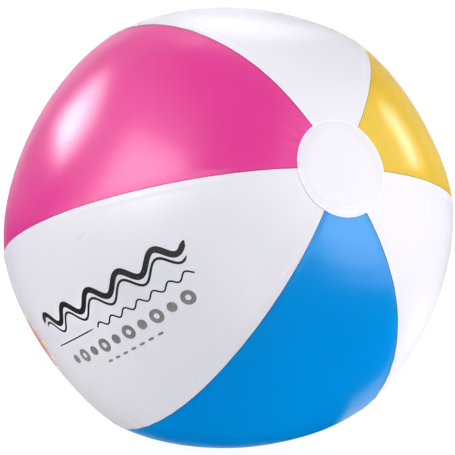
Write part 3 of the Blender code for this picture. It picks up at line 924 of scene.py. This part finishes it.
def build_strap(material):
    """The strip that keeps the stopper on the stem, folded on itself."""
    angles = math.pi * (np.linspace(0.0, 1.0, 15) - 0.5)
    fold = [(HINGE_RADIUS + FOLD_RADIUS * math.cos(a), SEAT + FOLD_RADIUS * math.sin(a)) for a in angles]
    lower = [(y, SEAT - FOLD_RADIUS) for y in np.linspace(STEM_RADIUS - 0.00035, HINGE_RADIUS, 7)[:-1]]
    upper = [(y, SEAT + FOLD_RADIUS) for y in np.linspace(HINGE_RADIUS, HEAD_RADIUS - 0.0003, 6)[1:]]
    shell = strip_shell([*lower, *fold, *upper], STRAP_WIDTH, STRAP_THICKNESS)
    obj = mesh_object("stopper_strap_strip", [shell], material, sharp=60.0)
    stand_for("stopper_strap")
    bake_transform(obj)


def build_flap(material):
    """The check flap: a thin disc, slightly dished, with a thicker seat ring."""
    top = STEM_END - CLEARANCE
    low = top - FLAP_THICKNESS
    profile = [(0.0, top - 0.00012), (BORE_RADIUS - 0.0012, top - 0.00010), (BORE_RADIUS - 0.0004, top),
               (FLAP_RADIUS, top), (FLAP_RADIUS, low), (BORE_RADIUS - 0.0004, low),
               (BORE_RADIUS - 0.0012, low), (0.0, low)]
    obj = mesh_object("check_flap_disc", [turned_shell(rounded(profile, 0.00010, 2), 56)], material)
    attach(obj, "flap")
    stand_for("check_flap")


# Studio

def aim(obj, target):
    """Turns a camera or a light to face the target."""
    direction = Vector(target) - obj.location
    obj.rotation_euler = direction.to_track_quat("-Z", "Y").to_euler()


def toward(azimuth, elevation):
    """The direction out of the ball at this azimuth, 0 towards -Y and 90 towards +X, and elevation."""
    a, e = math.radians(azimuth), math.radians(elevation)
    return Vector((math.sin(a) * math.cos(e), -math.cos(a) * math.cos(e), math.sin(e)))


def softbox(name, azimuth, elevation, width, height, radiance, glossy):
    """A rectangular light of that angular size in degrees, for reflections only or for shading only."""
    distance = GLOSS_DISTANCE if glossy else FILL_DISTANCE
    data = bpy.data.lights.new(name, "AREA")
    data.shape = "RECTANGLE"
    data.size = 2.0 * distance * math.tan(math.radians(width) / 2.0)
    data.size_y = 2.0 * distance * math.tan(math.radians(height) / 2.0)
    data.energy = radiance * data.size * data.size_y * math.pi
    obj = bpy.data.objects.new(name, data)
    bpy.context.scene.collection.objects.link(obj)
    obj.location = Vector(CENTRE) + distance * toward(azimuth, elevation)
    aim(obj, CENTRE)
    obj.visible_camera = False
    obj.visible_glossy = glossy
    obj.visible_diffuse = not glossy
    data.cycles.use_multiple_importance_sampling = glossy


def build_camera():
    """The camera looks at the ball's centre, and then very slightly past it."""
    data = bpy.data.cameras.new("camera")
    data.sensor_width = 36.0
    data.lens = CAMERA_LENS
    camera = bpy.data.objects.new("camera", data)
    bpy.context.scene.collection.objects.link(camera)
    camera.location = Vector(CENTRE) + CAMERA_DISTANCE * toward(CAMERA_AZIMUTH, CAMERA_ELEVATION)
    aim(camera, CENTRE)
    bpy.context.view_layer.update()
    right, up = camera.matrix_world.to_3x3().col[0], camera.matrix_world.to_3x3().col[1]
    aim(camera, Vector(CENTRE) + AIM_UP * up - AIM_LEFT * right)
    bpy.context.scene.camera = camera


def build_world():
    """Even white surroundings above the horizon, and dark ones below it."""
    world = bpy.data.worlds.new("studio")
    bpy.context.scene.world = world
    world.use_nodes = True
    tree = world.node_tree
    place = tree.nodes.new("ShaderNodeTexCoord").outputs["Generated"]
    height = tree.nodes.new("ShaderNodeSeparateXYZ")
    tree.links.new(place, height.inputs["Vector"])
    ramp = tree.nodes.new("ShaderNodeMapRange")
    ramp.interpolation_type = "SMOOTHSTEP"
    for key, number in (("From Min", HORIZON[0]), ("From Max", HORIZON[1]), ("To Min", WORLD_BELOW),
                        ("To Max", WORLD_ABOVE)):
        ramp.inputs[key].default_value = number
    tree.links.new(height.outputs["Z"], ramp.inputs["Value"])
    background = tree.nodes["Background"]
    background.inputs["Color"].default_value = WORLD_TINT
    tree.links.new(ramp.outputs["Result"], background.inputs["Strength"])


def studio_piece(name, points, faces, colour, glow, hidden_from):
    """A flat piece of the studio, which rays of the named kinds pass through. Its glow lights nothing."""
    mesh = bpy.data.meshes.new(name)
    mesh.from_pydata(points, [], faces)
    piece = bpy.data.objects.new(name, mesh)
    bpy.context.scene.collection.objects.link(piece)
    shader = Shader("mat_" + name, Roughness=0.9, Specular_IOR_Level=0.0)
    shader.feed(shader.surface.inputs["Base Color"], colour)
    shader.feed(shader.surface.inputs["Emission Color"], WHITE)
    shader.feed(shader.surface.inputs["Emission Strength"], glow)
    shader.material.cycles.emission_sampling = "NONE"
    mesh.materials.append(shader.material)
    for kind in hidden_from:
        setattr(piece, "visible_" + kind, False)
    return piece


def build_floor():
    """The pale floor that the camera sees. The ball gets its light from floor_light instead."""
    corners = [(-FLOOR_REACH, -FLOOR_REACH, 0.0), (FLOOR_REACH, -FLOOR_REACH, 0.0),
               (FLOOR_REACH, FLOOR_REACH, 0.0), (-FLOOR_REACH, FLOOR_REACH, 0.0)]
    floor = studio_piece("floor", corners, [(0, 1, 2, 3)], FLOOR_TONE, FLOOR_GLOW,
                         ("glossy", "diffuse", "shadow"))
    floor.location.z = -FLOOR_DROP


def build_floor_light():
    """The light that the pale floor sends up to the ball's skin, without showing in its reflections."""
    data = bpy.data.lights.new("floor_light", "AREA")
    data.shape = "SQUARE"
    data.size = FLOOR_LIGHT_SIZE
    data.energy = FLOOR_LIGHT * data.size * data.size * math.pi
    data.cycles.use_multiple_importance_sampling = False
    light = bpy.data.objects.new("floor_light", data)
    bpy.context.scene.collection.objects.link(light)
    light.location = (0.0, 0.0, -FLOOR_LIGHT_DEPTH)
    light.rotation_euler = (math.pi, 0.0, 0.0)
    light.visible_glossy = False
    light.visible_camera = False


def build_contact_shade():
    """Keeps the floor's light off the ball's underside, where the ball itself darkens the floor."""
    columns = 48
    angles = TURN * np.arange(columns) / columns
    ring = np.stack((SHADE_X + SHADE_RADIUS * np.cos(angles), SHADE_RADIUS * np.sin(angles),
                     np.full(columns, -SHADE_DEPTH)), axis=-1)
    shade = studio_piece("contact_shade", ring.tolist(), [list(range(columns))], BLACK, 0.0,
                         ("camera", "diffuse", "glossy"))


def build_bounce():
    """A bright part of the table right of the ball, which only its reflections show."""
    (x0, x1), (y0, y1), z = BOUNCE_X, BOUNCE_Y, BOUNCE_HEIGHT
    card = studio_piece("bounce", [(x0, y0, z), (x1, y0, z), (x1, y1, z), (x0, y1, z)], [(0, 1, 2, 3)],
                        BLACK, BOUNCE_GLOW, ("camera", "diffuse", "shadow"))


def build_backdrop():
    """A plain white wall all round, far off, which only the camera sees."""
    columns = 48
    angles = TURN * np.arange(columns) / columns
    low = np.stack((WALL_REACH * np.cos(angles), WALL_REACH * np.sin(angles), np.zeros(columns)), axis=-1)
    faces = [(i, (i + 1) % columns, (i + 1) % columns + columns, i + columns) for i in range(columns)]
    wall = studio_piece("backdrop", [*low.tolist(), *(low + (0.0, 0.0, WALL_HEIGHT)).tolist()], faces, BLACK,
                        WALL_GLOW, ("glossy", "diffuse", "shadow"))


def build_lights():
    for name, settings in REFLECTED_LIGHTS.items():
        softbox(name, *settings, glossy=True)
    for name, settings in SHADING_LIGHTS.items():
        softbox(name, *settings, glossy=False)


def main():
    build_world()
    build_floor()
    build_floor_light()
    build_contact_shade()
    build_backdrop()
    build_bounce()
    build_lights()
    build_camera()
    for gore, (name, tones) in enumerate(GORE_COLOURS.items()):
        build_gore(gore, gore_material(name, *tones))
    white = disc_material()
    build_disc("end_disc_front", False, 0.0, white)
    build_disc("end_disc_rear", True, VALVE_HOLE_RADIUS, white)
    build_print()
    soft = valve_material()
    build_flange(soft)
    build_sleeve(soft)
    build_stem(soft)
    build_stopper(soft)
    build_strap(soft)
    build_flap(soft)
    bpy.context.scene.view_settings.view_transform = "Standard"


main()
